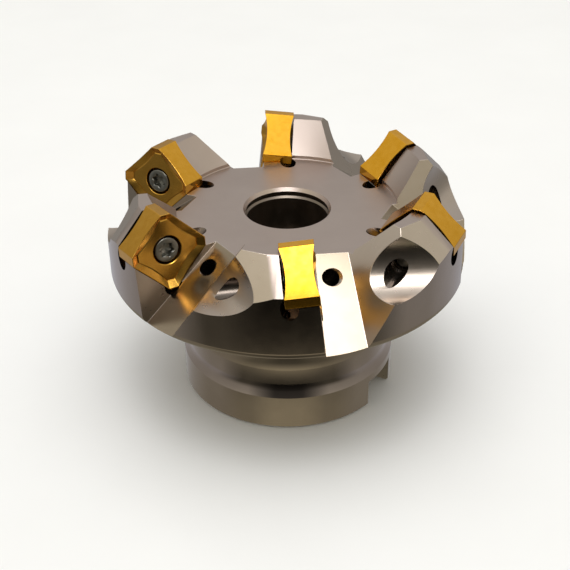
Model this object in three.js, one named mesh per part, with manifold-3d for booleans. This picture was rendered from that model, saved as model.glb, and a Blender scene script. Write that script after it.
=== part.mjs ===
// Face mill: a turned steel cutter body with six pockets, each holding an indexable insert
// clamped by one countersunk screw. Millimetres, +Z towards the cutting face, origin on the
// cutter axis in the plane of the arbor face, X along the two drive slots.
import * as THREE from 'three';
import { mergeVertices } from 'three/addons/utils/BufferGeometryUtils.js';
import Module from 'manifold-3d';

const wasm = await Module();
wasm.setup();

// ---- driving dimensions -------------------------------------------------------------------
const TOOTH_COUNT = 6;
const FIRST_TOOTH_ANGLE = 10; // degrees from X, so that no tooth stands over a drive slot
const GAP = 0.3; // clearance between neighbouring pieces

const BODY = {
  faceHeight: 41.05, // flat front face
  ridgeHeight: 48.4, // top of the teeth
  rimRadius: 38.2,
  rimBottom: 30,
  rimRound: 2,
  undersideSlope: 26.7, // degrees
  neckRadius: 22.5,
  neckFillet: 10,
  neckFilletStart: 14.5,
  hubRadius: 23.5,
  hubHeight: 8,
  stepHeight: 1.8,
  edgeChamfer: 0.5,
  toothFootRadius: 23.6,
  footStep: 0.85, // upright step from the face to the sloping inner wall
  ridgeInnerRadius: 29.4,
  ridgeOuterRadius: 32.3,
};

const BORE = {
  arborRadius: 11, // 22 mm shell-mill arbor
  arborDepth: 20,
  mouthChamfer: 0.8,
  boltRadius: 5.5, // clears an M10 clamping bolt
  headRadius: 8.75,
  headSeat: 29,
  headChamfer: 0.6,
};

const SLOT = { width: 10.4, depth: 6.3 };

const INSERT = {
  inscribed: 12.7, // across the long flats
  corner: 8, // from the centre to a wiper flat
  thickness: 6.67, // over the raised corners
  edgeSag: 0.65, // how far the middle of a long edge lies below its corners
  holeRadius: 2.2,
  sinkRadius: 3.35,
  sinkDepth: 1.9,
  faceRadius: 30.656, // centre of the rake face, from the cutter axis
  faceHeight: 42.049,
  radialRake: 9.04, // degrees
  axialRake: 6.39,
};

const SCREW = {
  headRadius: 2.8,
  headDepth: 1.05, // top of the head below the insert's raised corners
  headRim: 0.3,
  coneHeight: 1.6,
  shankRadius: 1.85,
  tipDepth: 13.4, // from the rake face
  tipChamfer: 0.5,
  recessRadius: 1.6,
  recessInner: 1.15,
  recessDepth: 1.3,
};

// A plane is the azimuth and elevation of its normal in degrees, and its distance from the origin,
// all in the frame of one tooth: x radial through its insert, y towards the next tooth.
const GULLET_FLOOR = { azimuth: -5.5, elevation: 53.7, distance: 44.9 };
const TOOTH_BACK = { azimuth: -120, elevation: 33.9, distance: 25.6 };
const TOOTH_RELIEF = { azimuth: -33.4, elevation: 40.9, distance: 55.2 };
const SCOOP = { azimuth: 18.7, elevation: 2.8, radius: 7.5, centre: [29.25, -22.5, 44.5] };
const POCKET = { cornerRadius: 1.95, cornerHeight: -7.6, grooveRadius: 1.75, grooveDepth: 5.9 };
const COOLANT = { radius: 1.8, centre: [24.7, 3.95, 38.1], slope: 52.5, lead: 3, length: 27 };
const TAPPED_RADIUS = SCREW.shankRadius + GAP;
const TAPPED_DEPTH = 24; // runs through the tooth into the scoop behind it

const LARGE = 60; // side of a cutting block that reaches well past the part
const WELD = 1e-5; // vertices closer than this are one vertex
const BODY_SEGMENTS = 64;
const HOLE_SEGMENTS = 16;
const TROUGH_SEGMENTS = 96;
const FILLET_STEPS = 5;
const ROUND_STEPS = 3;
const LOBE_COUNT = 6;
const STEPS_PER_LOBE = 6;

// ---- solids -------------------------------------------------------------------------------
function toSolid(geometry) {
  const bare = geometry.index ? geometry.toNonIndexed() : geometry.clone();
  bare.deleteAttribute('normal');
  bare.deleteAttribute('uv');
  const merged = mergeVertices(bare, WELD);
  const corners = Array.from(merged.index.array);
  const triangles = [];
  for (let i = 0; i < corners.length; i += 3) {
    const [a, b, c] = corners.slice(i, i + 3);
    if (a !== b && b !== c && c !== a) triangles.push(a, b, c);
  }
  const mesh = new wasm.Mesh({
    numProp: 3,
    vertProperties: new Float32Array(merged.attributes.position.array),
    triVerts: new Uint32Array(triangles),
  });
  return new wasm.Manifold(mesh);
}

function toGeometry(solid) {
  const mesh = solid.getMesh();
  const geometry = new THREE.BufferGeometry();
  geometry.setAttribute('position', new THREE.BufferAttribute(new Float32Array(mesh.vertProperties), 3));
  geometry.setIndex(new THREE.BufferAttribute(new Uint32Array(mesh.triVerts), 1));
  geometry.computeVertexNormals();
  return geometry;
}

// A body turned about Z from [radius, height] points in counter-clockwise order.
function turned(profile, segments) {
  const points = profile.map(([radius, height]) => new THREE.Vector2(radius, height));
  points.push(points[0].clone());
  return new THREE.LatheGeometry(points, segments).rotateX(Math.PI / 2);
}

// The points of an arc in a turned profile, from one angle to another in degrees.
function arc(centre, radius, from, to, steps) {
  return Array.from({ length: steps + 1 }, (_, i) => {
    const angle = THREE.MathUtils.degToRad(from + ((to - from) * i) / steps);
    return [centre[0] + radius * Math.cos(angle), centre[1] + radius * Math.sin(angle)];
  });
}

function unit(azimuth, elevation) {
  const a = THREE.MathUtils.degToRad(azimuth);
  const e = THREE.MathUtils.degToRad(elevation);
  return new THREE.Vector3(Math.cos(e) * Math.cos(a), Math.cos(e) * Math.sin(a), Math.sin(e));
}

// Turns local Z into the given direction and moves the local origin to the given point.
function aim(direction, point) {
  const turn = new THREE.Quaternion().setFromUnitVectors(new THREE.Vector3(0, 0, 1), direction);
  return new THREE.Matrix4().compose(point, turn, new THREE.Vector3(1, 1, 1));
}

// Everything in front of a plane, as a block that stands on it.
function beyond(normal, distance) {
  const block = new THREE.BoxGeometry(2 * LARGE, 2 * LARGE, LARGE).translate(0, 0, LARGE / 2);
  return toSolid(block.applyMatrix4(aim(normal, normal.clone().multiplyScalar(distance))));
}

// A cylinder along Y, centred on the origin.
function cylinder(radius, length, segments = HOLE_SEGMENTS) {
  return new THREE.CylinderGeometry(radius, radius, length, segments);
}

// A round bar along a direction, starting at a point.
function bar(start, direction, radius, length, segments) {
  const geometry = cylinder(radius, length, segments).rotateX(Math.PI / 2);
  return toSolid(geometry.translate(0, 0, length / 2).applyMatrix4(aim(direction, start)));
}

// ---- the insert's own frame ---------------------------------------------------------------
// In the insert's frame z is the rake-face normal, x points inward and up and y outward and up,
// square to the long flats; the origin is the centre of the rake face.
function insertFrame() {
  const rake = THREE.MathUtils.degToRad(INSERT.radialRake);
  const lean = THREE.MathUtils.degToRad(INSERT.axialRake);
  const level = new THREE.Vector3(Math.sin(rake), Math.cos(rake), 0);
  const outward = new THREE.Vector3(Math.cos(rake), -Math.sin(rake), 0);
  const up = new THREE.Vector3(0, 0, 1);
  const normal = level.clone().multiplyScalar(Math.cos(lean)).addScaledVector(up, Math.sin(lean));
  const rise = up.multiplyScalar(Math.cos(lean)).addScaledVector(level, -Math.sin(lean));
  const outUp = outward.clone().add(rise).normalize();
  const inUp = rise.clone().sub(outward).normalize();
  const frame = new THREE.Matrix4().makeBasis(inUp, outUp, normal);
  return frame.setPosition(INSERT.faceRadius, 0, INSERT.faceHeight);
}

const SEAT = insertFrame();
const RAKE_NORMAL = new THREE.Vector3().setFromMatrixColumn(SEAT, 2);
const FACE_CENTRE = new THREE.Vector3().setFromMatrixPosition(SEAT);

function inSeat(geometry) {
  return toSolid(geometry.applyMatrix4(SEAT));
}

// ---- cutter body --------------------------------------------------------------------------
function turnedBlank() {
  const slope = BODY.undersideSlope;
  const filletCentre = [BODY.neckRadius + BODY.neckFillet, BODY.neckFilletStart];
  const rimCentre = [BODY.rimRadius - BODY.rimRound, BODY.rimBottom];
  const outside = [
    [BORE.arborRadius + BORE.mouthChamfer, 0],
    [BODY.hubRadius - BODY.edgeChamfer, 0],
    [BODY.hubRadius, BODY.edgeChamfer],
    [BODY.hubRadius, BODY.hubHeight],
    [BODY.neckRadius, BODY.hubHeight + BODY.stepHeight],
    ...arc(filletCentre, BODY.neckFillet, 180, 90 + slope, FILLET_STEPS),
    ...arc(rimCentre, BODY.rimRound, slope - 90, 0, ROUND_STEPS),
    [BODY.rimRadius, BODY.ridgeHeight - (BODY.rimRadius - BODY.ridgeOuterRadius)],
    [BODY.ridgeOuterRadius, BODY.ridgeHeight],
    [BODY.ridgeInnerRadius, BODY.ridgeHeight],
    [BODY.toothFootRadius, BODY.faceHeight + BODY.footStep],
    [BODY.toothFootRadius, BODY.faceHeight],
  ];
  const inside = [
    [BORE.headRadius + BORE.headChamfer, BODY.faceHeight],
    [BORE.headRadius, BODY.faceHeight - BORE.headChamfer],
    [BORE.headRadius, BORE.headSeat],
    [BORE.boltRadius, BORE.headSeat],
    [BORE.boltRadius, BORE.arborDepth],
    [BORE.arborRadius, BORE.arborDepth],
    [BORE.arborRadius, BORE.mouthChamfer],
  ];
  return toSolid(turned([...outside, ...inside], BODY_SEGMENTS));
}

function driveSlots() {
  const length = 2 * (BODY.hubRadius + GAP);
  const height = 2 * SLOT.depth;
  return toSolid(new THREE.BoxGeometry(length, SLOT.width, height));
}

function plane({ azimuth, elevation, distance }, turn = 0) {
  return beyond(unit(azimuth + turn, elevation), distance);
}

// The chip space in front of a rake face, up to the back of the next tooth.
function gullet(pitch) {
  const front = beyond(RAKE_NORMAL, RAKE_NORMAL.dot(FACE_CENTRE) - GAP);
  return plane(GULLET_FLOOR).intersect(front).intersect(plane(TOOTH_BACK, pitch));
}

// The sloping facet and the round scoop behind a tooth; both end just inside the gullet.
function toothRelief() {
  const axis = unit(SCOOP.azimuth, SCOOP.elevation);
  const start = new THREE.Vector3(...SCOOP.centre).addScaledVector(axis, -LARGE / 2);
  const scoop = bar(start, axis, SCOOP.radius, LARGE, 2 * HOLE_SEGMENTS);
  const limit = { ...TOOTH_BACK, distance: TOOTH_BACK.distance + GAP };
  return scoop.add(plane(TOOTH_RELIEF)).subtract(plane(limit));
}

// The seat of one insert: a floor behind it, a wall under each lower flat, a round relief in
// the bottom corner and a round groove along the foot of each wall.
function pocket() {
  const wall = INSERT.inscribed / 2 + GAP;
  const middle = LARGE / 2 - wall;
  const depth = INSERT.thickness + GAP;
  const seat = new THREE.BoxGeometry(LARGE, LARGE, depth).translate(middle, middle, -depth / 2);
  const corner = POCKET.cornerHeight / Math.SQRT2;
  const relief = cylinder(POCKET.cornerRadius, depth);
  relief.rotateX(Math.PI / 2).translate(corner, corner, -depth / 2);
  const innerGroove = cylinder(POCKET.grooveRadius, LARGE);
  innerGroove.translate(-wall, middle, -POCKET.grooveDepth);
  const outerGroove = cylinder(POCKET.grooveRadius, LARGE);
  outerGroove.rotateZ(Math.PI / 2).translate(middle, -wall, -POCKET.grooveDepth);
  const cuts = [seat, relief, innerGroove, outerGroove];
  return cuts.map(inSeat).reduce((whole, cut) => whole.add(cut));
}

function tappedHole() {
  return bar(FACE_CENTRE.clone(), RAKE_NORMAL.clone().negate(), TAPPED_RADIUS, TAPPED_DEPTH);
}

// A coolant hole from the gullet floor down to the top of the arbor bore.
function coolantHole() {
  const centre = new THREE.Vector3(...COOLANT.centre);
  const azimuth = THREE.MathUtils.radToDeg(Math.atan2(centre.y, centre.x));
  const outward = unit(azimuth, COOLANT.slope);
  const start = centre.clone().addScaledVector(outward, COOLANT.lead);
  return bar(start, outward.negate(), COOLANT.radius, COOLANT.length);
}

function cutterBody() {
  const pitch = 360 / TOOTH_COUNT;
  const cuts = [gullet(pitch), toothRelief(), pocket(), tappedHole(), coolantHole()];
  let body = turnedBlank().subtract(driveSlots());
  for (let tooth = 0; tooth < TOOTH_COUNT; tooth += 1) {
    const angle = FIRST_TOOTH_ANGLE + tooth * pitch;
    for (const cut of cuts) body = body.subtract(cut.rotate([0, 0, angle]));
  }
  return toGeometry(body);
}

// ---- insert -------------------------------------------------------------------------------
// Half the length of a long flat: where it meets the short flat across the corner.
function halfFlat() {
  return INSERT.corner * Math.SQRT2 - INSERT.inscribed / 2;
}

function octagon() {
  const flat = INSERT.inscribed / 2;
  const nose = halfFlat();
  const corners = [[flat, nose], [nose, flat], [-nose, flat], [-flat, nose]];
  const ring = [...corners, ...corners.map(([x, y]) => [-x, -y])];
  return new THREE.Shape(ring.map(([x, y]) => new THREE.Vector2(x, y)));
}

// A shallow trough across one face, which leaves the corners proud of the middle of each edge.
function trough(side, turn) {
  const half = halfFlat();
  const radius = (half * half + INSERT.edgeSag * INSERT.edgeSag) / (2 * INSERT.edgeSag);
  const lift = INSERT.thickness / 2 - INSERT.edgeSag + radius;
  const round = cylinder(radius, 2 * INSERT.inscribed, TROUGH_SEGMENTS);
  return toSolid(round.rotateZ(turn).translate(0, 0, side * lift));
}

function insertSolid() {
  const half = INSERT.thickness / 2;
  const plate = new THREE.ExtrudeGeometry(octagon(), { depth: INSERT.thickness, bevelEnabled: false });
  let solid = toSolid(plate.translate(0, 0, -half));
  for (const side of [-1, 1]) {
    for (const turn of [0, Math.PI / 2]) solid = solid.subtract(trough(side, turn));
  }
  const land = half - INSERT.edgeSag;
  const hole = turned([
    [0, -half], [INSERT.sinkRadius, -half], [INSERT.sinkRadius, -land],
    [INSERT.holeRadius, INSERT.sinkDepth - land], [INSERT.holeRadius, land - INSERT.sinkDepth],
    [INSERT.sinkRadius, land], [INSERT.sinkRadius, half], [0, half],
  ], HOLE_SEGMENTS);
  return solid.subtract(toSolid(hole)).translate([0, 0, -half]);
}

// ---- screw --------------------------------------------------------------------------------
function sixLobes() {
  const steps = LOBE_COUNT * STEPS_PER_LOBE;
  const mean = (SCREW.recessRadius + SCREW.recessInner) / 2;
  const swing = (SCREW.recessRadius - SCREW.recessInner) / 2;
  const points = Array.from({ length: steps }, (_, i) => {
    const angle = (2 * Math.PI * i) / steps;
    const radius = mean + swing * Math.cos(LOBE_COUNT * angle);
    return new THREE.Vector2(radius * Math.cos(angle), radius * Math.sin(angle));
  });
  return new THREE.Shape(points);
}

function screwSolid() {
  const top = -SCREW.headDepth;
  const neck = top - SCREW.headRim - SCREW.coneHeight;
  const shank = turned([
    [0, -SCREW.tipDepth],
    [SCREW.shankRadius - SCREW.tipChamfer, -SCREW.tipDepth],
    [SCREW.shankRadius, SCREW.tipChamfer - SCREW.tipDepth],
    [SCREW.shankRadius, neck],
    [SCREW.headRadius, top - SCREW.headRim],
    [SCREW.headRadius - GAP / 2, top],
    [0, top],
  ], HOLE_SEGMENTS);
  const depth = 2 * SCREW.recessDepth;
  const recess = new THREE.ExtrudeGeometry(sixLobes(), { depth, bevelEnabled: false });
  recess.translate(0, 0, top - SCREW.recessDepth);
  return toSolid(shank).subtract(toSolid(recess));
}

// ---- assembly -----------------------------------------------------------------------------
function metal(color, roughness) {
  return new THREE.MeshStandardMaterial({ color, roughness, metalness: 1, flatShading: true });
}

const STEEL = metal(0x96877e, 0.32);
const GOLD = metal(0xd99a1c, 0.3);
const BLACK = metal(0x3a3a38, 0.4);

function named(name, geometry, material) {
  const mesh = new THREE.Mesh(geometry, material);
  mesh.name = name;
  return mesh;
}

function faceMill() {
  const mill = new THREE.Group();
  mill.add(named('cutter_body', cutterBody(), STEEL));
  const insert = toGeometry(insertSolid());
  const screw = toGeometry(screwSolid());
  for (let tooth = 0; tooth < TOOTH_COUNT; tooth += 1) {
    const angle = FIRST_TOOTH_ANGLE + (tooth * 360) / TOOTH_COUNT;
    const seat = new THREE.Group();
    seat.applyMatrix4(SEAT);
    seat.add(named(`insert_${tooth + 1}`, insert, GOLD));
    seat.add(named(`insert_screw_${tooth + 1}`, screw, BLACK));
    const holder = new THREE.Group();
    holder.rotation.z = THREE.MathUtils.degToRad(angle);
    holder.add(seat);
    mill.add(holder);
  }
  return mill;
}

export default faceMill();
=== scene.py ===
"""Looks of a face mill: a nickel-plated steel cutter body, six gold-coated indexable inserts and
the six countersunk screws that clamp them. Shapes are made in millimetres in the part's frame
(+Z towards the cutting face, X along the drive slots) and scaled to metres at the end."""

import math

import bmesh
import bpy
from mathutils import Matrix, Vector

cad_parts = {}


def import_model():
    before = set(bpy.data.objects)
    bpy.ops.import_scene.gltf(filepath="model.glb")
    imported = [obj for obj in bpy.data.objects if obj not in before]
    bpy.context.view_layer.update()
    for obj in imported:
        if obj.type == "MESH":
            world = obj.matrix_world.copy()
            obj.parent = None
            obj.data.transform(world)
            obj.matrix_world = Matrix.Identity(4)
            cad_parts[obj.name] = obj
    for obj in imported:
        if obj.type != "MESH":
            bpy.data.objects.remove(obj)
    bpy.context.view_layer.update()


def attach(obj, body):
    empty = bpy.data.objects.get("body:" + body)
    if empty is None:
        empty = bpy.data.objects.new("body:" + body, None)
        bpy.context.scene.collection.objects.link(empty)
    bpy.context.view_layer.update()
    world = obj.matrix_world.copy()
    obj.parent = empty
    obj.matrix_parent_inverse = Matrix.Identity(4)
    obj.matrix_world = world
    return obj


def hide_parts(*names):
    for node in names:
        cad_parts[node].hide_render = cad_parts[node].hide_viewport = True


MM = 0.001
TOOTH_COUNT = 6
PITCH = 360 / TOOTH_COUNT
FIRST_TOOTH_ANGLE = 10
# space kept in front of the insert's face and of the tooth's back, and between insert and pocket
GAP = 0.3
SEAT_GAP = 0.08
# longer than the whole cutter, for bodies that only cut
LARGE = 60
# flat facets round each kind of turned shape
BODY_SEGMENTS = 192
SCOOP_SEGMENTS = 96
HOLE_SEGMENTS = 48
SCREW_SEGMENTS = 72
# rings in one pitch of the screw's thread
THREAD_STEPS = 8
# divisions of an insert's long and short sides and of its rounded corners
LONG_STEPS, SHORT_STEPS, NOSE_STEPS = 14, 4, 4

BODY = {
    "face": 41.05,
    "ridge": 48.4,
    "ridge_inner": 29.4,
    "ridge_outer": 32.3,
    "foot": 23.6,
    "foot_step": 0.85,
    "foot_fillet": 0.12,
    "rim": 38.2,
    "rim_bottom": 30,
    "rim_round": 2,
    "underside_slope": 26.7,
    "neck": 22.5,
    "neck_fillet": 10,
    "neck_fillet_start": 14.5,
    "hub": 23.5,
    "hub_height": 8,
    "chamfer": 0.5,
    # (beyond the neck, above the hub) from the hub's edge up to the straight part of the neck
    "ledge": [(0.3, 1.3), (0.08, 2.1), (0, 3)],
}
BORE = {
    "arbor": 11,
    "arbor_depth": 20,
    "mouth_chamfer": 0.8,
    "bolt": 5.5,
    "head": 8.75,
    "head_seat": 29,
    "lead_in": 9.35,
    "chamfer": 0.75,
    # (beyond the head's radius, below the face) of the land and groove inside the mouth
    "groove": [(0.05, 0.75), (0.05, 1.2), (0.3, 1.35), (0.3, 1.9), (-0.1, 2.3)],
}
SLOT = {"width": 10.4, "depth": 6.3}
INSERT = {
    "flat": 6.35,
    "corner": 8.0,
    "thickness": 6.67,
    "sag": 0.65,
    "plateau": 1.05,
    "land": 0.12,
    "hone": 0.05,
    "band": 1.3,
    "valley": 0.1,
    "valley_width": 0.25,
    "nose_round": 0.16,
    # a face whose normal rises less than this is a flank
    "flank_lean": 0.3,
    # (radius, below the plateau) of the countersink's rounded mouth and cone
    "sink": [(3.17, 0), (3.05, 0.1), (3.0, 0.5), (2.25, 1.9), (2.2, 2.0)],
    "face_radius": 30.656,
    "face_height": 42.049,
    "radial_rake": 9.04,
    "axial_rake": 6.39,
}
SCREW = {
    "head": 2.55,
    "head_depth": 1.22,
    "rim": 0.3,
    "cone": 1.6,
    "cone_round": 0.04,
    # (inside the head's radius, below its top) of the rim's rounded top edge
    "head_edge": [(0, 0.14), (0.05, 0.05), (0.16, 0), (0.6, 0)],
    "crest": 1.75,
    "root": 1.5,
    "pitch": 0.7,
    "tip": 13.4,
    # the first threads rise to full height over this length, from this far inside the crest
    "lead": 0.5,
    "lead_drop": 0.45,
    # the plain neck between head and thread
    "neck_gap": 0.25,
    "neck_length": 0.5,
    # widens the thread's crests into narrow flats
    "crest_flat": 1.25,
    "recess": 1.36,
    "lobe": 0.22,
    "lobe_flat": 0.25,
    # (beyond the recess's radius, share of the lobes, below the head's top), down to its point
    "recess_wall": [
        (0.2, 0.8, 0), (0.07, 1, 0.1), (0, 1, 0.3), (-0.04, 1, 1.25), (-0.612, 0.3, 1.37),
    ],
    "recess_point": 1.6,
}
THREAD = {"crest": 1.85, "root": 2.0, "depth": 15.4, "plain_depth": 24}
# azimuth and elevation of a plane's normal in degrees, and its distance from the origin
GULLET_FLOOR = (-5.5, 53.7, 44.9)
TOOTH_BACK = (-120, 33.9, 25.6)
TOOTH_RELIEF = (-33.4, 40.9, 55.2)
SCOOP = {"azimuth": 18.7, "elevation": 2.8, "radius": 7.5, "centre": (29.25, -22.5, 44.5)}
POCKET = {"corner": 1.95, "corner_height": -7.6, "groove": 1.75, "groove_depth": 5.9}
COOLANT = {
    "radius": 1.8,
    "centre": (24.7, 3.95, 38.1),
    "slope": 52.5,
    "lead": 3,
    "depth": 24,
    "bevel": 0.28,
}
# bevels: their width, and the sharpness, length and height above which an edge gets one
EDGE = {"width": 0.1, "angle": 22, "shortest": 0.3, "lowest": 12}
# angles in degrees above which shading stays sharp
SHARP = {"body": 24, "insert": 12, "screw": 38}
# after a cut: points closer than this weld, faces flatter than this join, thinner slivers go
CLEAN = {"weld": 0.01, "flat": 0.4, "sliver": 0.05}
# cosine above which two directions count as one
ALIKE = 0.999
# radii within which a turned face is of the bore (painted shade) and beyond which of the outside
PAINT = {"bore": 11.5, "outside": 21.5}
# material slots of the cutter body, in the order of its finishes
# seats, holes, bore and gullet floors get painted shade; bevels partly a painted highlight
TURNED, MILLED, POCKET_SHADE, EDGE_WEAR_AND_HIGHLIGHT, SIDE, BORE_SHADE, GULLET_SHADE = range(7)
# material slots of an insert
PRESSED, GROUND = range(2)

CAMERA = {
    "place": (100.97, -181.4, 152.35),
    "target": (-0.517, -0.288, 21.515),
    "roll": -0.0087,
    "lens": 69.75,
    "clip_start": 0.01,
}
FLOOR_HALF_WIDTH = 12
# lamps in metres; the softbox is close above the front teeth, and only reflections see it
SOFTBOX = {"reach": 0.073, "height": 0.142, "depth": 0.05, "width": 0.08, "brightness": 4.2}
OVERHEAD = {"reach": 0.14, "height": 0.75, "size": 0.24, "brightness": 2.4}
# a large lamp over the floor that reflections don't see
FILL = {"height": 1.0, "size": 1.2, "brightness": 1.25}
# (elevation in degrees, brightness, warmth) of the studio, from behind the part to the camera
SKY_STRENGTH = 2
# how much each unit of warmth takes from green and from blue
WARMTH = (0.06, 0.32)
BACK_SKY = [
    (-90, 0.2, 1), (-40, 0.24, 0.8), (-32, 0.46, -0.3), (-15, 0.4, -0.1), (0, 0.3, 0.1),
    (14, 0.33, 0.2), (23, 0.5, 0.1), (29, 0.6, 0.1), (45, 0.57, 0.1), (60, 0.75, 0),
    (77, 0.95, 0.1), (90, 1.1, 0),
]
SIDE_SKY = [
    (-90, 0.2, 1), (-38, 0.24, 0.7), (-30, 0.3, 0), (0, 0.29, 0.3), (14, 0.36, 0.4),
    (22, 0.62, 0.2), (30, 0.82, 0.4), (38, 0.6, 0.8), (55, 0.8, 0.1), (90, 1.1, 0),
]
QUARTER_SKY = [
    (-90, 0.1, 1), (-55, 0.12, 1), (-38.2, 0.25, 1), (-36.2, 0.06, 0.8), (-20, 0.07, 0.8),
    (-8, 0.18, 0.5), (8, 0.3, 0.4), (22, 0.45, 0.5), (29, 0.92, 0.9), (34, 0.95, 1),
    (40, 0.66, 1.2), (46, 0.72, 0.8), (52, 1.1, 0.1), (62, 1.1, 0), (90, 1.1, 0),
]
FRONT_SKY = [
    (-90, 0.06, 1), (-60, 0.08, 1), (-46, 0.24, 1), (-38.2, 0.38, 1.1), (-36.8, 0.12, 0.9),
    (-35.6, 0.005, 0.6), (0, 0.02, 0.4), (20, 0.05, 0.3), (38, 0.06, 0.5), (44, 0.12, 0.4),
    (50, 0.95, 0.1), (55, 1.3, 0.1), (62, 1.1, 0), (90, 1.1, 0),
]
# each sky and the cosines of the angle from the camera between which it takes over
SKIES = [(SIDE_SKY, -0.95, -0.2), (QUARTER_SKY, 0.15, 0.6), (FRONT_SKY, 0.75, 0.97)]


# ---- mesh helpers -------------------------------------------------------------------------
def new_object(name, bm):
    """A scene object with the mesh, its normals outward; the bmesh is used up."""
    mesh = bpy.data.meshes.new(name)
    bmesh.ops.recalc_face_normals(bm, faces=bm.faces[:])
    bm.to_mesh(mesh)
    bm.free()
    obj = bpy.data.objects.new(name, mesh)
    bpy.context.collection.objects.link(obj)
    return obj


def ring_mesh(rings, closed=False):
    """Joins rings of points, all of one length, with quads; a ring of one point closes an end."""
    bm = bmesh.new()
    made = [[bm.verts.new(p) for p in ring] for ring in rings]
    pairs = list(zip(made, made[1:]))
    if closed:
        pairs.append((made[-1], made[0]))
    for lower, upper in pairs:
        count = max(len(lower), len(upper))
        for i in range(count):
            j = (i + 1) % count
            if len(lower) == 1:
                corners = (lower[0], upper[j], upper[i])
            elif len(upper) == 1:
                corners = (lower[i], lower[j], upper[0])
            else:
                corners = (lower[i], lower[j], upper[j], upper[i])
            bm.faces.new(corners)
    return bm


def turned(name, profile, segments, closed=True):
    """A body turned about Z from (radius, height) points; closed joins the last to the first."""
    rings = []
    for radius, height in profile:
        if radius == 0:
            rings.append([(0, 0, height)])
            continue
        angles = [2 * math.pi * i / segments for i in range(segments)]
        rings.append([(radius * math.cos(a), radius * math.sin(a), height) for a in angles])
    return new_object(name, ring_mesh(rings, closed))


def arc(centre, radius, start, end, steps):
    """Points of a circle's arc between two angles in degrees."""
    points = []
    for i in range(steps + 1):
        a = math.radians(start + (end - start) * i / steps)
        points.append((centre[0] + radius * math.cos(a), centre[1] + radius * math.sin(a)))
    return points


def unit(azimuth, elevation):
    """The direction with an azimuth and an elevation in degrees."""
    a, e = math.radians(azimuth), math.radians(elevation)
    return Vector((math.cos(e) * math.cos(a), math.cos(e) * math.sin(a), math.sin(e)))


def half_space(azimuth, elevation, distance, turn=0):
    """A plane as a normal and a distance, turned about the axis."""
    return unit(azimuth + turn, elevation), distance


def cut_by_plane(bm, normal, distance, keep_beyond):
    """Cuts a closed mesh by a plane, keeps one side and closes the cut."""
    cut = bmesh.ops.bisect_plane(
        bm,
        geom=bm.verts[:] + bm.edges[:] + bm.faces[:],
        plane_co=normal * distance,
        plane_no=normal,
        clear_inner=keep_beyond,
        clear_outer=not keep_beyond,
    )
    edges = [item for item in cut["geom_cut"] if isinstance(item, bmesh.types.BMEdge)]
    if edges:
        bmesh.ops.holes_fill(bm, edges=edges)


def convex(name, beyond, behind=()):
    """The space beyond some planes and behind others, within a large cube."""
    bm = bmesh.new()
    bmesh.ops.create_cube(bm, size=3 * LARGE)
    for normal, distance in beyond:
        cut_by_plane(bm, normal, distance, True)
    for normal, distance in behind:
        cut_by_plane(bm, normal, distance, False)
    return new_object(name, bm)


def box(name, low, high):
    """A box between two corners."""
    bm = bmesh.new()
    bmesh.ops.create_cube(bm, size=1)
    size = [b - a for a, b in zip(low, high)]
    middle = [(a + b) / 2 for a, b in zip(low, high)]
    bmesh.ops.scale(bm, vec=size, verts=bm.verts)
    bmesh.ops.translate(bm, vec=middle, verts=bm.verts)
    return new_object(name, bm)


def aim(direction, point):
    """A transform that takes Z to a direction and the origin to a point."""
    turn = Vector((0, 0, 1)).rotation_difference(direction)
    return Matrix.Translation(point) @ turn.to_matrix().to_4x4()


def bar(name, start, direction, radius, length, segments=HOLE_SEGMENTS):
    """A round bar from a point along a direction."""
    obj = turned(name, [(0, 0), (radius, 0), (radius, length), (0, length)], segments, False)
    obj.data.transform(aim(direction, Vector(start)))
    return obj


# ---- the insert's own frame ---------------------------------------------------------------
def seat_frame():
    """Local z is the rake-face normal, x points inward and up, y outward and up."""
    rake = math.radians(INSERT["radial_rake"])
    lean = math.radians(INSERT["axial_rake"])
    level = Vector((math.sin(rake), math.cos(rake), 0))
    outward = Vector((math.cos(rake), -math.sin(rake), 0))
    normal = level * math.cos(lean) + Vector((0, 0, math.sin(lean)))
    rise = Vector((0, 0, math.cos(lean))) - level * math.sin(lean)
    in_up = (rise - outward).normalized()
    out_up = (rise + outward).normalized()
    frame = Matrix((in_up, out_up, normal)).transposed().to_4x4()
    place = Vector((INSERT["face_radius"], 0, INSERT["face_height"]))
    return Matrix.Translation(place) @ frame


SEAT = seat_frame()
RAKE_NORMAL = SEAT.to_3x3() @ Vector((0, 0, 1))
FACE_CENTRE = SEAT.translation.copy()


def tooth_turn(tooth):
    """The turn about the axis from the frame in which a tooth is drawn to its place."""
    return Matrix.Rotation(math.radians(FIRST_TOOTH_ANGLE + tooth * PITCH), 4, "Z")


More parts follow.
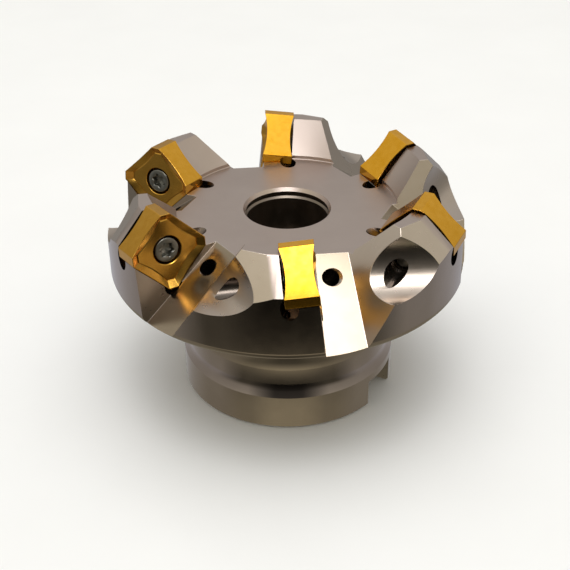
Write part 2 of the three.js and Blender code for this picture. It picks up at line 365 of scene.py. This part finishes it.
# ---- cutter body --------------------------------------------------------------------------
def body_profile():
    """The cutter's outside from the hub up to the face, then its inside back down."""
    slope = BODY["underside_slope"]
    fillet_centre = (BODY["neck"] + BODY["neck_fillet"], BODY["neck_fillet_start"])
    rim_centre = (BODY["rim"] - BODY["rim_round"], BODY["rim_bottom"])
    outside = [
        (BORE["arbor"] + BORE["mouth_chamfer"], 0),
        (BODY["hub"] - BODY["chamfer"], 0),
        (BODY["hub"], BODY["chamfer"]),
        (BODY["hub"], BODY["hub_height"]),
        *[(BODY["neck"] + out, BODY["hub_height"] + up) for out, up in BODY["ledge"]],
        *arc(fillet_centre, BODY["neck_fillet"], 180, 90 + slope, steps=14),
        *arc(rim_centre, BODY["rim_round"], slope - 90, 0, steps=8),
        (BODY["rim"], BODY["ridge"] - (BODY["rim"] - BODY["ridge_outer"])),
        (BODY["ridge_outer"], BODY["ridge"]),
        (BODY["ridge_inner"], BODY["ridge"]),
        (BODY["foot"], BODY["face"] + BODY["foot_step"]),
        (BODY["foot"], BODY["face"] + BODY["foot_fillet"]),
        (BODY["foot"] - BODY["foot_fillet"], BODY["face"]),
    ]
    inside = [
        (BORE["lead_in"], BODY["face"]),
        *[(BORE["head"] + out, BODY["face"] - down) for out, down in BORE["groove"]],
        (BORE["head"] + BORE["groove"][-1][0], BORE["head_seat"]),
        (BORE["bolt"], BORE["head_seat"]),
        (BORE["bolt"], BORE["arbor_depth"]),
        (BORE["arbor"], BORE["arbor_depth"]),
        (BORE["arbor"], BORE["mouth_chamfer"]),
    ]
    return outside + inside


def gullet():
    """The chip space ahead of an insert, as far as the back of the next tooth."""
    front = (RAKE_NORMAL, RAKE_NORMAL.dot(FACE_CENTRE) - GAP)
    planes = [half_space(*GULLET_FLOOR), front, half_space(*TOOTH_BACK, turn=PITCH)]
    return convex("gullet", planes)


def relief_limit():
    """The plane that the relief and the scoop stop at, just clear of the tooth's back."""
    azimuth, elevation, distance = TOOTH_BACK
    return unit(azimuth, elevation), distance + GAP


def relief():
    """The flat cut behind an insert."""
    return convex("relief", [half_space(*TOOTH_RELIEF)], [relief_limit()])


def scoop():
    """The round hollow behind a tooth, where the screw's hole comes out."""
    axis = unit(SCOOP["azimuth"], SCOOP["elevation"])
    start = Vector(SCOOP["centre"]) - axis * LARGE / 2
    obj = bar("scoop", start, axis, SCOOP["radius"], LARGE, SCOOP_SEGMENTS)
    bm = bmesh.new()
    bm.from_mesh(obj.data)
    cut_by_plane(bm, *relief_limit(), False)
    bm.to_mesh(obj.data)
    bm.free()
    return obj


def pocket():
    """The insert's seat, with a round relief in its corner and grooves along its walls."""
    wall = INSERT["flat"] + SEAT_GAP
    depth = INSERT["thickness"] + SEAT_GAP
    seat = box("seat", (-wall, -wall, -depth), (LARGE - wall, LARGE - wall, 0))
    corner = POCKET["corner_height"] / math.sqrt(2)
    lines = [
        ("corner", (corner, corner, -depth), (0, 0, 1), POCKET["corner"], depth),
        ("groove_x", (-wall, -wall, -POCKET["groove_depth"]), (0, 1, 0), POCKET["groove"], LARGE),
        ("groove_y", (-wall, -wall, -POCKET["groove_depth"]), (1, 0, 0), POCKET["groove"], LARGE),
    ]
    bars = [bar(name, at, Vector(way), radius, length) for name, at, way, radius, length in lines]
    for obj in [seat, *bars]:
        obj.data.transform(SEAT)
    return [seat, *bars]


def tapped_hole():
    """A hole along the screw: V grooves one pitch apart, then a plain run-out into the scoop."""
    profile = [(0, 0)]
    for i in range(int(THREAD["depth"] / SCREW["pitch"])):
        profile.append((THREAD["crest"], i * SCREW["pitch"]))
        profile.append((THREAD["root"], (i + 0.5) * SCREW["pitch"]))
    profile.append((THREAD["root"], THREAD["plain_depth"]))
    profile.append((0, THREAD["plain_depth"]))
    obj = turned("tapped_hole", profile, HOLE_SEGMENTS, False)
    obj.data.transform(aim(-RAKE_NORMAL, FACE_CENTRE))
    return obj


def coolant_cut(name, profile):
    """A body turned about the coolant hole's axis; heights are depths below its mouth."""
    centre = Vector(COOLANT["centre"])
    azimuth = math.degrees(math.atan2(centre.y, centre.x))
    outward = unit(azimuth, COOLANT["slope"])
    obj = turned(name, profile, HOLE_SEGMENTS, False)
    obj.data.transform(aim(-outward, centre))
    return obj


def coolant_hole():
    """The round hole that brings coolant to a tooth."""
    radius, lead, depth = COOLANT["radius"], COOLANT["lead"], COOLANT["depth"]
    profile = [(0, -lead), (radius, -lead), (radius, depth), (0, depth)]
    return coolant_cut("coolant_hole", profile)


def coolant_mouth():
    """The small countersink at the mouth of the coolant hole."""
    radius, lead, bevel = COOLANT["radius"], COOLANT["lead"], COOLANT["bevel"]
    profile = [(0, -lead), (radius + bevel + lead, -lead), (radius, bevel), (0, bevel)]
    return coolant_cut("coolant_mouth", profile)


def add_finishes(obj, finishes, slot):
    """Gives the object every finish of the body, and one of them to all its faces."""
    for material in finishes:
        obj.data.materials.append(material)
    for face in obj.data.polygons:
        face.material_index = slot


def around(cutter, finishes, slot):
    """Copies of a cutting body for all the teeth; its cuts take the finish in the slot."""
    add_finishes(cutter, finishes, slot)
    copies = []
    for tooth in range(TOOTH_COUNT):
        copy = cutter.copy()
        copy.data = cutter.data.copy()
        copy.data.transform(tooth_turn(tooth))
        bpy.context.collection.objects.link(copy)
        copies.append(copy)
    bpy.data.objects.remove(cutter)
    return copies


def cut(obj, cutters):
    """Subtracts every cutter from the object and throws the cutters away."""
    group = bpy.data.collections.new("cutters")
    for cutter in cutters:
        group.objects.link(cutter)
    boolean = obj.modifiers.new("cut", "BOOLEAN")
    boolean.operation = "DIFFERENCE"
    boolean.solver = "EXACT"
    boolean.operand_type = "COLLECTION"
    boolean.collection = group
    graph = bpy.context.evaluated_depsgraph_get()
    mesh = bpy.data.meshes.new_from_object(obj.evaluated_get(graph))
    obj.modifiers.clear()
    obj.data = mesh
    for cutter in cutters:
        bpy.data.objects.remove(cutter)
    bpy.data.collections.remove(group)


def tidy(obj):
    """Welds points, takes away edges inside flat faces, and drops slivers."""
    bm = bmesh.new()
    bm.from_mesh(obj.data)
    bmesh.ops.remove_doubles(bm, verts=bm.verts, dist=CLEAN["weld"])
    bmesh.ops.dissolve_limit(
        bm,
        angle_limit=math.radians(CLEAN["flat"]),
        verts=bm.verts,
        edges=bm.edges,
        delimit={"MATERIAL"},
    )
    bmesh.ops.dissolve_degenerate(bm, edges=bm.edges, dist=CLEAN["sliver"])
    bm.to_mesh(obj.data)
    bm.free()


def smooth(obj, angle):
    """Smooth shading, with edges sharper than the angle kept sharp."""
    for face in obj.data.polygons:
        face.use_smooth = True
    obj.data.set_sharp_from_angle(angle=math.radians(angle))
    weighted = obj.modifiers.new("weighted", "WEIGHTED_NORMAL")
    weighted.keep_sharp = True


def bounds_a_flat(face):
    """True on the milled faces and on the level turned ones."""
    level = face.material_index == TURNED and face.normal.z > ALIKE
    return level or face.material_index == MILLED


def break_edges(obj):
    """Takes a narrow bevel off the sharp edges between milled and level faces."""
    bm = bmesh.new()
    bm.from_mesh(obj.data)
    sharp = []
    for edge in bm.edges:
        if len(edge.link_faces) != 2 or edge.calc_face_angle() < math.radians(EDGE["angle"]):
            continue
        high = min(vertex.co.z for vertex in edge.verts) > EDGE["lowest"]
        flat = all(bounds_a_flat(face) for face in edge.link_faces)
        if high and flat and edge.calc_length() > EDGE["shortest"]:
            sharp.append(edge)
    # the bevels take a lighter finish: rubbed plating and a painted highlight
    bmesh.ops.bevel(
        bm,
        geom=sharp,
        offset=EDGE["width"],
        segments=3,
        profile=0.5,
        affect="EDGES",
        clamp_overlap=False,
        material=EDGE_WEAR_AND_HIGHLIGHT,
    )
    bm.to_mesh(obj.data)
    bm.free()


def gullet_floors():
    """Normals of the gullet floors of all the teeth."""
    azimuth, elevation, _ = GULLET_FLOOR
    turns = [FIRST_TOOTH_ANGLE + tooth * PITCH for tooth in range(TOOTH_COUNT)]
    return [unit(azimuth + turn, elevation) for turn in turns]


def paint(obj):
    """Picks out the smoother turned outside, and the gullet floors and bore with painted shade."""
    inner_top = BODY["face"] - BORE["chamfer"]
    floors = gullet_floors()
    for face in obj.data.polygons:
        # gullet floors take a darker finish: painted shade
        if face.material_index == MILLED and any(face.normal.dot(n) > ALIKE for n in floors):
            face.material_index = GULLET_SHADE
        if face.material_index != TURNED:
            continue
        radius = math.hypot(face.center.x, face.center.y)
        # the bore's turned faces get painted shade
        if radius < PAINT["bore"] and face.center.z < inner_top:
            face.material_index = BORE_SHADE
        elif face.center.z < BODY["face"] - EDGE["width"] and radius > PAINT["outside"]:
            face.material_index = SIDE


def cutter_body():
    """The turned blank less the gullets, reliefs, scoops, pockets, slots and holes."""
    finishes = [
        turned_steel(),
        milled_steel(),
        shaded_pocket_steel(),
        edge_wear_and_highlight_steel(),
        side_steel(),
        shaded_bore_steel(),
        shaded_gullet_steel(),
    ]
    body = turned("milled_body", body_profile(), BODY_SEGMENTS)
    half = SLOT["width"] / 2
    reach = BODY["hub"] + GAP
    slots = box("slots", (-reach, -half, -SLOT["depth"]), (reach, half, SLOT["depth"]))
    for obj, slot in ((body, TURNED), (slots, MILLED)):
        add_finishes(obj, finishes, slot)
    cutters = [slots]
    for cutter in (gullet(), relief(), scoop()):
        cutters += around(cutter, finishes, MILLED)
    # seats and tapped holes take the darker finish: painted shade in these recesses
    for cutter in (*pocket(), tapped_hole()):
        cutters += around(cutter, finishes, POCKET_SHADE)
    cut(body, cutters)
    tidy(body)
    # the coolant hole's mouth takes the same lighter finish, partly a painted highlight
    mouths = around(coolant_mouth(), finishes, EDGE_WEAR_AND_HIGHLIGHT)
    # the coolant hole takes the same painted shade as the other holes
    cut(body, around(coolant_hole(), finishes, POCKET_SHADE) + mouths)
    break_edges(body)
    paint(body)
    body.data.transform(Matrix.Scale(MM, 4))
    smooth(body, SHARP["body"])
    return body


# ---- inserts ------------------------------------------------------------------------------
def half_flat():
    """Half the length of an insert's long side."""
    return INSERT["corner"] * math.sqrt(2) - INSERT["flat"]


def rounded_corner(before, corner, after):
    """Points of a small curve that replaces a corner of an outline."""
    to_before = (before - corner).normalized()
    to_after = (after - corner).normalized()
    cut_back = INSERT["nose_round"] / math.tan(to_before.angle(to_after) / 2)
    start = corner + to_before * cut_back
    end = corner + to_after * cut_back
    points = []
    for i in range(NOSE_STEPS + 1):
        t = i / NOSE_STEPS
        points.append(start * (1 - t) ** 2 + corner * 2 * t * (1 - t) + end * t ** 2)
    return points


def insert_outline():
    """The octagon with slightly rounded corners, each long side divided along its length."""
    flat, nose = INSERT["flat"], half_flat()
    quarter = [Vector((flat, -nose)), Vector((flat, nose)), Vector((nose, flat))]
    corners = []
    for k in range(4):
        turn = Matrix.Rotation(math.pi / 2 * k, 2)
        corners += [turn @ quarter[1], turn @ quarter[2]]
    outline = []
    count = len(corners)
    for i, corner in enumerate(corners):
        before, after = corners[i - 1], corners[(i + 1) % count]
        rounded = rounded_corner(before, corner, after)
        outline += rounded
        steps = LONG_STEPS if (after - corner).length > flat / 2 else SHORT_STEPS
        last = rounded_corner(corner, after, corners[(i + 2) % count])[0]
        outline += [rounded[-1].lerp(last, s / steps) for s in range(1, steps)]
    return outline


def edge_height(point):
    """Height of the cutting edge: full at the corners, sagging along each long side."""
    along = min(abs(point.x), abs(point.y))
    part = min(1, along / half_flat())
    return -INSERT["sag"] * (1 - part * part)


def chip_former(point, share):
    """A point part of the way down the band that falls from the cutting edge to the valley."""
    inner = point * (1 - share * INSERT["band"] / point.length)
    top = edge_height(point)
    valley = -INSERT["plateau"] - INSERT["valley"]
    return (inner.x, inner.y, top + (valley - top) * share)


def insert_side():
    """Rings of one face of the insert, from its cutting edge in to the middle of the hole."""
    outline = insert_outline()
    hone = INSERT["hone"]
    rings = [[(p.x, p.y, edge_height(p) - hone) for p in outline]]
    inner = [p * (1 - hone / p.length) for p in outline]
    rings.append([(p.x, p.y, edge_height(p)) for p in inner])
    land = [p * (1 - (INSERT["land"] + hone) / p.length) for p in outline]
    for share in (0, 0.5, 1):
        rings.append([chip_former(p, share) for p in land])
    plateau = -INSERT["plateau"]
    foot = INSERT["band"] + INSERT["valley_width"]
    foot_line = [p * (1 - foot / p.length) for p in land]
    rings.append([(p.x, p.y, plateau) for p in foot_line])
    for radius, drop in INSERT["sink"]:
        rings.append([(*(p.normalized() * radius), plateau - drop) for p in outline])
    return rings


def insert_mesh():
    """The insert's two faces, mirror images of each other, joined by its flanks."""
    top = insert_side()
    thickness = INSERT["thickness"]
    bottom = [[(x, y, -thickness - z) for x, y, z in ring] for ring in top]
    rings = top[::-1] + bottom
    bm = ring_mesh(rings, True)
    bmesh.ops.recalc_face_normals(bm, faces=bm.faces[:])
    for face in bm.faces:
        centre = face.calc_center_median()
        outside = math.hypot(centre.x, centre.y) > half_flat()
        flank = outside and abs(face.normal.z) < INSERT["flank_lean"]
        face.material_index = GROUND if flank else PRESSED
    return bm


def coated_insert(index, mesh):
    """One of the six inserts."""
    obj = bpy.data.objects.new(f"coated_insert_{index}", mesh)
    bpy.context.collection.objects.link(obj)
    return obj


# ---- screws -------------------------------------------------------------------------------
def screw_ring(radii, height):
    """A ring of points with a radius for each step round the axis."""
    ring = []
    for i, radius in enumerate(radii):
        angle = 2 * math.pi * i / SCREW_SEGMENTS
        ring.append((radius * math.cos(angle), radius * math.sin(angle), height))
    return ring


def lobed(radius, depth):
    """Radii of a six-lobed outline, rounder at the lobes than between them."""
    radii = []
    for i in range(SCREW_SEGMENTS):
        wave = math.cos(6 * 2 * math.pi * i / SCREW_SEGMENTS)
        radii.append(radius + depth * wave - SCREW["lobe_flat"] * depth * (1 - wave * wave))
    return radii


def cone_bottom():
    """Height of the bottom of the head's cone."""
    return -SCREW["head_depth"] - SCREW["rim"] - SCREW["cone"]


def head_rings():
    """The head's cone and rim up to its flat top."""
    top = -SCREW["head_depth"]
    rim_bottom = top - SCREW["rim"]
    profile = [
        (SCREW["root"], cone_bottom() - SCREW["neck_gap"]),
        (SCREW["crest"], cone_bottom()),
        (SCREW["head"] - SCREW["cone_round"], rim_bottom - SCREW["cone_round"]),
        (SCREW["head"], rim_bottom),
    ]
    profile += [(SCREW["head"] - inward, top - down) for inward, down in SCREW["head_edge"]]
    return [screw_ring([radius] * SCREW_SEGMENTS, height) for radius, height in profile]


def recess_rings():
    """The six-lobed recess, from its mouth down to the point of its floor."""
    top = -SCREW["head_depth"]
    rings = []
    for out, share, down in SCREW["recess_wall"]:
        radii = lobed(SCREW["recess"] + out, SCREW["lobe"] * share)
        rings.append(screw_ring(radii, top - down))
    rings.append([(0, 0, top - SCREW["recess_point"])])
    return rings


def thread_rings():
    """A right-hand helix: the radius is a wave of height that climbs one pitch a turn."""
    bottom = -SCREW["tip"]
    length = cone_bottom() - SCREW["neck_length"] - bottom
    count = int(length / SCREW["pitch"] * THREAD_STEPS)
    rings = [[(0, 0, bottom)]]
    for k in range(count + 1):
        height = bottom + length * k / count
        lead = min(1, (height - bottom) / SCREW["lead"])
        limit = SCREW["crest"] - SCREW["lead_drop"] * (1 - lead)
        radii = []
        for i in range(SCREW_SEGMENTS):
            phase = (height / SCREW["pitch"] - i / SCREW_SEGMENTS) % 1
            wave = min(1, SCREW["crest_flat"] * (1 - abs(2 * phase - 1)))
            radii.append(min(limit, SCREW["root"] + (SCREW["crest"] - SCREW["root"]) * wave))
        rings.append(screw_ring(radii, height))
    return rings


def screw_mesh():
    """A clamping screw, from its tip up its thread and head and down into its recess."""
    return ring_mesh(thread_rings() + head_rings() + recess_rings())


def clamp_screw(index, mesh):
    """One of the six screws."""
    obj = bpy.data.objects.new(f"clamp_screw_{index}", mesh)
    bpy.context.collection.objects.link(obj)
    return obj


# ---- materials ----------------------------------------------------------------------------
def start_material(name, color, roughness, metallic=1):
    """A material and its shader; an even colour and roughness that textures can replace."""
    material = bpy.data.materials.new(name)
    material.use_nodes = True
    shader = material.node_tree.nodes["Principled BSDF"]
    shader.inputs["Metallic"].default_value = metallic
    shader.inputs["Roughness"].default_value = roughness
    shader.inputs["Base Color"].default_value = (*color, 1)
    return material, shader


def add_node(tree, kind, **settings):
    """A node with settings for its inputs or, where no input has the name, for itself."""
    node = tree.nodes.new(kind)
    for key, value in settings.items():
        if key in node.inputs:
            node.inputs[key].default_value = value
        else:
            setattr(node, key, value)
    return node


def coordinates(tree, turn=(0, 0, 0)):
    """Object coordinates in metres, turned by angles in radians."""
    texture = add_node(tree, "ShaderNodeTexCoord")
    mapping = add_node(tree, "ShaderNodeMapping", Rotation=turn)
    tree.links.new(texture.outputs["Object"], mapping.inputs["Vector"])
    return mapping.outputs["Vector"]


def noise(tree, vector, scale, detail=4, rough=0.55):
    """Cloud noise with a number of lumps to the metre."""
    node = add_node(tree, "ShaderNodeTexNoise", Scale=scale, Detail=detail, Roughness=rough)
    tree.links.new(vector, node.inputs["Vector"])
    return node.outputs["Fac"]


def remap(tree, value, low, high, start=0.3, end=0.7):
    """Stretches a value's range, by default the middle range of noise, to another."""
    node = add_node(tree, "ShaderNodeMapRange")
    for key, number in (("From Min", start), ("From Max", end), ("To Min", low), ("To Max", high)):
        node.inputs[key].default_value = number
    tree.links.new(value, node.inputs["Value"])
    return node.outputs["Result"]


def tint(tree, value, dark, light):
    """A colour between two, by a value from 0 to 1."""
    node = add_node(tree, "ShaderNodeMix", data_type="RGBA")
    colors = [socket for socket in node.inputs if socket.type == "RGBA"]
    colors[0].default_value = (*dark, 1)
    colors[1].default_value = (*light, 1)
    tree.links.new(value, node.inputs["Factor"])
    outputs = [socket for socket in node.outputs if socket.type == "RGBA"]
    return outputs[0]


def bump(tree, shader, height, strength, distance=0.00001):
    """Bumps from a height; the distance is in metres."""
    node = add_node(tree, "ShaderNodeBump", Strength=strength, Distance=distance)
    tree.links.new(height, node.inputs["Height"])
    tree.links.new(node.outputs["Normal"], shader.inputs["Normal"])


def plated_steel(name, dark, light, rough_low, rough_high, marks):
    """Nickel-plated steel: slow clouds of tint, fine roughness grain and faint tool marks."""
    middle = tuple((a + b) / 2 for a, b in zip(dark, light))
    material, shader = start_material(name, middle, (rough_low + rough_high) / 2)
    tree = material.node_tree
    vector = coordinates(tree)
    clouds = noise(tree, vector, scale=55, detail=5, rough=0.6)
    color = tint(tree, remap(tree, clouds, 0, 1), dark, light)
    tree.links.new(color, shader.inputs["Base Color"])
    grain = noise(tree, vector, scale=420)
    rough = remap(tree, grain, rough_low, rough_high)
    tree.links.new(rough, shader.inputs["Roughness"])
    bump(tree, shader, marks(tree), strength=0.015)
    return material


def turning_marks(tree):
    """Fine grooves round the axis, about a fifth of a millimetre apart."""
    wave = add_node(
        tree,
        "ShaderNodeTexWave",
        wave_type="RINGS",
        rings_direction="Z",
        Scale=1600,
        Distortion=1.5,
    )
    tree.links.new(coordinates(tree), wave.inputs["Vector"])
    return wave.outputs["Fac"]


def milling_marks(tree):
    """Fine straight passes of a cutter, slanted to the axis."""
    vector = coordinates(tree, turn=(0.6, 0.9, 0.3))
    wave = add_node(
        tree,
        "ShaderNodeTexWave",
        wave_type="BANDS",
        bands_direction="Z",
        Scale=1100,
        Distortion=2,
    )
    tree.links.new(vector, wave.inputs["Vector"])
    return wave.outputs["Fac"]


def turned_steel():
    """The cutter's face."""
    return plated_steel(
        "turned_steel", (0.51, 0.42, 0.375), (0.57, 0.48, 0.43), 0.33, 0.36, turning_marks
    )


def side_steel():
    """The smoother rim, neck and hub."""
    return plated_steel(
        "side_steel", (0.50, 0.41, 0.36), (0.56, 0.47, 0.415), 0.095, 0.115, turning_marks
    )


def shaded_bore_steel():
    """The rougher inside of the bore, painted dark as shade within the hole."""
    return plated_steel(
        "shaded_bore_steel", (0.20, 0.165, 0.135), (0.27, 0.225, 0.185), 0.28, 0.38, turning_marks
    )


def milled_steel():
    """Slots, reliefs, scoops and the backs of the teeth."""
    return plated_steel(
        "milled_steel", (0.52, 0.44, 0.375), (0.58, 0.50, 0.43), 0.27, 0.3, milling_marks
    )


def shaded_gullet_steel():
    """The gullet floors, painted darker and browner as shade in the chip space."""
    return plated_steel(
        "shaded_gullet_steel", (0.32, 0.26, 0.195), (0.37, 0.305, 0.23), 0.22, 0.25, milling_marks
    )


def shaded_pocket_steel():
    """The seats and holes, painted darker as shade inside these recesses."""
    return plated_steel(
        "shaded_pocket_steel", (0.17, 0.14, 0.12), (0.25, 0.21, 0.18), 0.22, 0.3, milling_marks
    )


def edge_wear_and_highlight_steel():
    """The broken edges, a little lighter: rubbed plating and a painted highlight."""
    return plated_steel(
        "edge_wear_and_highlight_steel", (0.52, 0.44, 0.38), (0.60, 0.52, 0.45), 0.2, 0.3, milling_marks
    )


def gold_coating(name, dark, light, rough_low, rough_high, patches):
    """Titanium nitride: cloudy patches of colour, with a fine grain in roughness and height."""
    middle = tuple((a + b) / 2 for a, b in zip(dark, light))
    material, shader = start_material(name, middle, (rough_low + rough_high) / 2)
    tree = material.node_tree
    vector = coordinates(tree)
    clouds = noise(tree, vector, scale=patches)
    tree.links.new(tint(tree, remap(tree, clouds, 0, 1), dark, light), shader.inputs["Base Color"])
    grain = noise(tree, vector, scale=3000, detail=2, rough=0.5)
    rough = remap(tree, grain, rough_low, rough_high)
    tree.links.new(rough, shader.inputs["Roughness"])
    bump(tree, shader, grain, strength=0.02)
    return material, shader


def pressed_gold():
    """The darker chip former, as pressed and sintered."""
    return gold_coating(
        "pressed_gold", (0.64, 0.34, 0.055), (0.74, 0.405, 0.075), 0.22, 0.26, 500
    )[0]


def ground_gold():
    """The brighter ground flanks, under a thin clear film of oil."""
    material, shader = gold_coating(
        "ground_gold", (0.80, 0.385, 0.01), (0.88, 0.45, 0.035), 0.14, 0.17, 700
    )
    shader.inputs["Coat Weight"].default_value = 0.3
    shader.inputs["Coat Roughness"].default_value = 0.2
    return material


def black_steel():
    """Black-oxide screw steel, worn a little grey where it is rubbed."""
    material, shader = start_material("black_steel", (0.25, 0.25, 0.225), 0.34)
    tree = material.node_tree
    vector = coordinates(tree)
    wear = noise(tree, vector, scale=700, detail=6, rough=0.65)
    color = tint(tree, remap(tree, wear, 0, 1), (0.19, 0.19, 0.17), (0.33, 0.325, 0.295))
    tree.links.new(color, shader.inputs["Base Color"])
    tree.links.new(remap(tree, wear, 0.45, 0.28), shader.inputs["Roughness"])
    bump(tree, shader, wear, strength=0.2, distance=0.00003)
    return material


def floor_material():
    """Matt pale paper with a faint mottle."""
    material, shader = start_material("pale_floor", (0.86, 0.86, 0.85), 0.7, metallic=0)
    tree = material.node_tree
    mottle = noise(tree, coordinates(tree), scale=30)
    color = tint(tree, remap(tree, mottle, 0, 1), (0.85, 0.85, 0.845), (0.87, 0.87, 0.865))
    tree.links.new(color, shader.inputs["Base Color"])
    return material


# ---- stage --------------------------------------------------------------------------------
def floor():
    """A wide pale floor that reflections don't see."""
    bm = bmesh.new()
    bmesh.ops.create_grid(bm, x_segments=8, y_segments=8, size=FLOOR_HALF_WIDTH)
    obj = new_object("floor", bm)
    obj.data.materials.append(floor_material())
    obj.visible_glossy = False


def camera():
    """The camera, rolled a little about its view."""
    place = Vector(CAMERA["place"]) * MM
    target = Vector(CAMERA["target"]) * MM
    forward = (target - place).normalized()
    side = forward.cross(Vector((0, 0, 1))).normalized()
    upward = side.cross(forward)
    c, s = math.cos(CAMERA["roll"]), math.sin(CAMERA["roll"])
    right = side * c + upward * s
    up = upward * c - side * s
    data = bpy.data.cameras.new("camera")
    data.lens = CAMERA["lens"]
    data.clip_start = CAMERA["clip_start"]
    obj = bpy.data.objects.new("camera", data)
    turn = Matrix((right, up, -forward)).transposed().to_4x4()
    obj.matrix_world = Matrix.Translation(place) @ turn
    bpy.context.collection.objects.link(obj)
    bpy.context.scene.camera = obj


def ramp(tree, value, stops):
    """A colour ramp over elevation: stops are (degrees, brightness, warmth)."""
    node = add_node(tree, "ShaderNodeValToRGB")
    elements = node.color_ramp.elements
    while len(elements) > 1:
        elements.remove(elements[-1])
    for i, (elevation, brightness, warmth) in enumerate(stops):
        position = (math.sin(math.radians(elevation)) + 1) / 2
        element = elements[0] if i == 0 else elements.new(position)
        element.position = position
        level = brightness / SKY_STRENGTH
        green, blue = (level * (1 - share * warmth) for share in WARMTH)
        element.color = (level, green, blue, 1)
    tree.links.new(value, node.inputs["Fac"])
    return node.outputs["Color"]


def mix_colors(tree, share, first, second):
    """A colour between two linked ones."""
    node = add_node(tree, "ShaderNodeMix", data_type="RGBA")
    colors = [socket for socket in node.inputs if socket.type == "RGBA"]
    tree.links.new(share, node.inputs["Factor"])
    tree.links.new(first, colors[0])
    tree.links.new(second, colors[1])
    return [socket for socket in node.outputs if socket.type == "RGBA"][0]


def camera_side():
    """Level direction from the part towards the camera."""
    return Vector((CAMERA["place"][0], CAMERA["place"][1], 0)).normalized()


def world():
    """A soft studio whose brightness depends on elevation and on the angle from the camera."""
    sky = bpy.data.worlds.new("studio")
    bpy.context.scene.world = sky
    sky.use_nodes = True
    tree = sky.node_tree
    direction = add_node(tree, "ShaderNodeTexCoord").outputs["Generated"]
    split = add_node(tree, "ShaderNodeSeparateXYZ")
    tree.links.new(direction, split.inputs["Vector"])
    height = remap(tree, split.outputs["Z"], 0, 1, start=-1, end=1)
    level = add_node(tree, "ShaderNodeVectorMath", operation="MULTIPLY")
    level.inputs[1].default_value = (1, 1, 0)
    tree.links.new(direction, level.inputs[0])
    heading = add_node(tree, "ShaderNodeVectorMath", operation="NORMALIZE")
    tree.links.new(level.outputs["Vector"], heading.inputs[0])
    facing = add_node(tree, "ShaderNodeVectorMath", operation="DOT_PRODUCT")
    facing.inputs[1].default_value = camera_side()
    tree.links.new(heading.outputs["Vector"], facing.inputs[0])
    color = ramp(tree, height, BACK_SKY)
    for stops, start, end in SKIES:
        share = remap(tree, facing.outputs["Value"], 0, 1, start, end)
        color = mix_colors(tree, share, color, ramp(tree, height, stops))
    background = tree.nodes["Background"]
    background.inputs["Strength"].default_value = SKY_STRENGTH
    tree.links.new(color, background.inputs["Color"])


def area_light(name, place, size, brightness):
    """A rectangle that faces down; its brightness is its radiance."""
    data = bpy.data.lights.new(name, "AREA")
    data.shape = "RECTANGLE"
    data.size, data.size_y = size
    data.energy = brightness * math.pi * size[0] * size[1]
    obj = bpy.data.objects.new(name, data)
    obj.location = place
    obj.rotation_euler = (0, 0, math.atan2(place.y, place.x))
    obj.visible_camera = False
    bpy.context.collection.objects.link(obj)
    return obj


def lights():
    """An overhead lamp, a softbox close to the front teeth and a fill for the floor."""
    side = OVERHEAD["size"]
    place = camera_side() * OVERHEAD["reach"] + Vector((0, 0, OVERHEAD["height"]))
    area_light("overhead", place, (side, side), OVERHEAD["brightness"])
    place = camera_side() * SOFTBOX["reach"] + Vector((0, 0, SOFTBOX["height"]))
    size = (SOFTBOX["depth"], SOFTBOX["width"])
    softbox = area_light("softbox", place, size, SOFTBOX["brightness"])
    softbox.visible_diffuse = False
    size = (FILL["size"], FILL["size"])
    fill = area_light("fill", Vector((0, 0, FILL["height"])), size, FILL["brightness"])
    fill.visible_glossy = False


# ---- scene --------------------------------------------------------------------------------
def place_piece(obj, tooth, body, node):
    """Puts a piece drawn in the insert's frame on its tooth, body and CAD node."""
    obj.data = obj.data.copy()
    obj.data.transform(Matrix.Scale(MM, 4) @ tooth_turn(tooth) @ SEAT)
    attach(obj, body)
    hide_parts(node)


def finished_mesh(name, bm, materials):
    """A mesh with its materials, shared by six pieces; the bmesh is used up."""
    mesh = bpy.data.meshes.new(name)
    bmesh.ops.recalc_face_normals(bm, faces=bm.faces[:])
    bm.to_mesh(mesh)
    bm.free()
    for material in materials:
        mesh.materials.append(material)
    return mesh


def main():
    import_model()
    camera()
    world()
    lights()
    floor()
    body = cutter_body()
    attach(body, "cutter")
    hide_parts("cutter_body")
    insert = finished_mesh("insert", insert_mesh(), [pressed_gold(), ground_gold()])
    screw = finished_mesh("screw", screw_mesh(), [black_steel()])
    for tooth in range(TOOTH_COUNT):
        index = tooth + 1
        gold = coated_insert(index, insert)
        place_piece(gold, tooth, f"insert_{index}", f"insert_{index}")
        smooth(gold, SHARP["insert"])
        black = clamp_screw(index, screw)
        node = f"insert_screw_{index}"
        place_piece(black, tooth, node, node)
        smooth(black, SHARP["screw"])
    bpy.context.scene.view_settings.view_transform = "Standard"


main()
